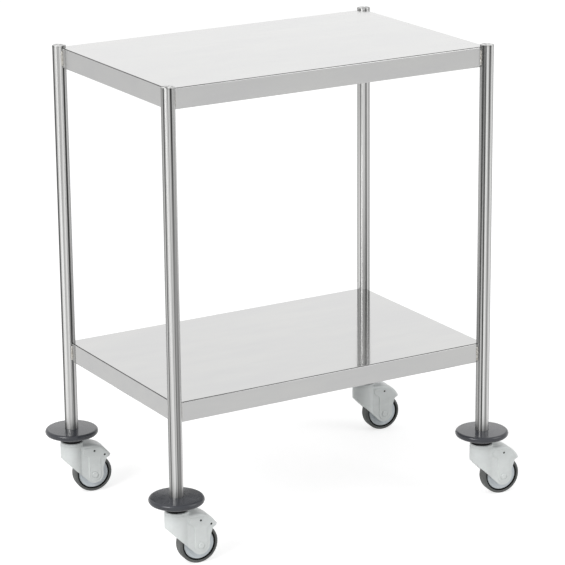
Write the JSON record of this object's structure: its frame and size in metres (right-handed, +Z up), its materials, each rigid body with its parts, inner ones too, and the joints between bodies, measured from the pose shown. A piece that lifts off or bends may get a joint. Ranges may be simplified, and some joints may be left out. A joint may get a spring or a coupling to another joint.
{
  "type": "instrument trolley",
  "caption": "Stainless instrument trolley: folded shelves between round tube legs, each leg on a swivel castor below a round rubber buffer.",
  "frame": {"origin": "on the floor, in the middle of the outline seen from above", "axes": "+Z up, +X along the long side towards the castors without a brake, +Y along the short side towards the back"},
  "size_m": [0.7918, 0.527, 0.8834],
  "materials": {
    "shelf_steel": "satin stainless sheet",
    "tube_steel": "polished stainless tube",
    "weld_steel": "ground weld",
    "plated_steel": "zinc plated",
    "buffer_rubber": "moulded, semi gloss",
    "sleeve_rubber": "plain",
    "seal_black": "plain",
    "housing_plastic": "moulded, fine satin",
    "hub_plastic": "moulded, satin",
    "guard_black": "moulded",
    "tyre": "elastic thermoplastic rubber"
  },
  "bodies": {
    "frame": {"back_left_buffer": "buffer_rubber", "back_left_expander": "sleeve_rubber", "back_left_stem": "plated_steel", "back_left_swivel_seal": "seal_black", "back_right_buffer": "buffer_rubber", "back_right_expander": "sleeve_rubber", "back_right_stem": "plated_steel", "back_right_swivel_seal": "seal_black", "front_left_buffer": "buffer_rubber", "front_left_expander": "sleeve_rubber", "front_left_stem": "plated_steel", "front_left_swivel_seal": "seal_black", "front_right_buffer": "buffer_rubber", "front_right_expander": "sleeve_rubber", "front_right_stem": "plated_steel", "front_right_swivel_seal": "seal_black", "leg_back_left": "tube_steel", "leg_back_right": "tube_steel", "leg_caps": "tube_steel", "leg_front_left": "tube_steel", "leg_front_right": "tube_steel", "lower_shelf": "shelf_steel", "lower_shelf_stiffeners": "shelf_steel", "lower_shelf_welds": "weld_steel", "top_shelf": "shelf_steel", "top_shelf_stiffeners": "shelf_steel", "top_shelf_welds": "weld_steel"},
    "front_left_castor": {"front_left_axle": "housing_plastic", "front_left_fork": "housing_plastic", "front_left_housing_pin": "plated_steel", "front_left_pedal_pin": "plated_steel", "front_left_swivel_bearing": "plated_steel"},
    "front_left_wheel": {"front_left_hub": "hub_plastic", "front_left_thread_guards": "guard_black", "front_left_tyre": "tyre"},
    "front_left_brake": {"front_left_brake_pedal": "housing_plastic"},
    "back_left_castor": {"back_left_axle": "housing_plastic", "back_left_fork": "housing_plastic", "back_left_housing_pin": "plated_steel", "back_left_pedal_pin": "plated_steel", "back_left_swivel_bearing": "plated_steel"},
    "back_left_wheel": {"back_left_hub": "hub_plastic", "back_left_thread_guards": "guard_black", "back_left_tyre": "tyre"},
    "back_left_brake": {"back_left_brake_pedal": "housing_plastic"},
    "front_right_castor": {"front_right_axle": "housing_plastic", "front_right_fork": "housing_plastic", "front_right_housing_pin": "plated_steel", "front_right_swivel_bearing": "plated_steel"},
    "front_right_wheel": {"front_right_hub": "hub_plastic", "front_right_thread_guards": "guard_black", "front_right_tyre": "tyre"},
    "back_right_castor": {"back_right_axle": "housing_plastic", "back_right_fork": "housing_plastic", "back_right_housing_pin": "plated_steel", "back_right_swivel_bearing": "plated_steel"},
    "back_right_wheel": {"back_right_hub": "hub_plastic", "back_right_thread_guards": "guard_black", "back_right_tyre": "tyre"}
  },
  "joints": [
    {"name": "front_left_swivel", "type": "hinge", "parent": "frame", "child": "front_left_castor", "pos_m": [-0.34494, -0.2125, 0.095], "axis": [0, 0, 1], "continuous": true},
    {"name": "front_left_wheel_spin", "type": "hinge", "parent": "front_left_castor", "child": "front_left_wheel", "pos_m": [-0.30709, -0.21581, 0.0375], "axis": [0.0872, 0.9962, 0], "continuous": true},
    {"name": "front_left_brake_press", "type": "hinge", "parent": "front_left_castor", "child": "front_left_brake", "pos_m": [-0.28667, -0.2176, 0.076], "axis": [0.0872, 0.9962, 0], "range_deg": [0, 12]},
    {"name": "back_left_swivel", "type": "hinge", "parent": "frame", "child": "back_left_castor", "pos_m": [-0.34494, 0.2125, 0.095], "axis": [0, 0, 1], "continuous": true},
    {"name": "back_left_wheel_spin", "type": "hinge", "parent": "back_left_castor", "child": "back_left_wheel", "pos_m": [-0.30731, 0.20721, 0.0375], "axis": [0.1392, 0.9903, 0], "continuous": true},
    {"name": "back_left_brake_press", "type": "hinge", "parent": "back_left_castor", "child": "back_left_brake", "pos_m": [-0.28701, 0.20436, 0.076], "axis": [0.1392, 0.9903, 0], "range_deg": [0, 12]},
    {"name": "front_right_swivel", "type": "hinge", "parent": "frame", "child": "front_right_castor", "pos_m": [0.32006, -0.2125, 0.095], "axis": [0, 0, 1], "continuous": true},
    {"name": "front_right_wheel_spin", "type": "hinge", "parent": "front_right_castor", "child": "front_right_wheel", "pos_m": [0.35769, -0.21779, 0.0375], "axis": [0.1392, 0.9903, 0], "continuous": true},
    {"name": "back_right_swivel", "type": "hinge", "parent": "frame", "child": "back_right_castor", "pos_m": [0.32006, 0.2125, 0.095], "axis": [0, 0, 1], "continuous": true},
    {"name": "back_right_wheel_spin", "type": "hinge", "parent": "back_right_castor", "child": "back_right_wheel", "pos_m": [0.35777, 0.20787, 0.0375], "axis": [0.1219, 0.9925, 0], "continuous": true}
  ]
}
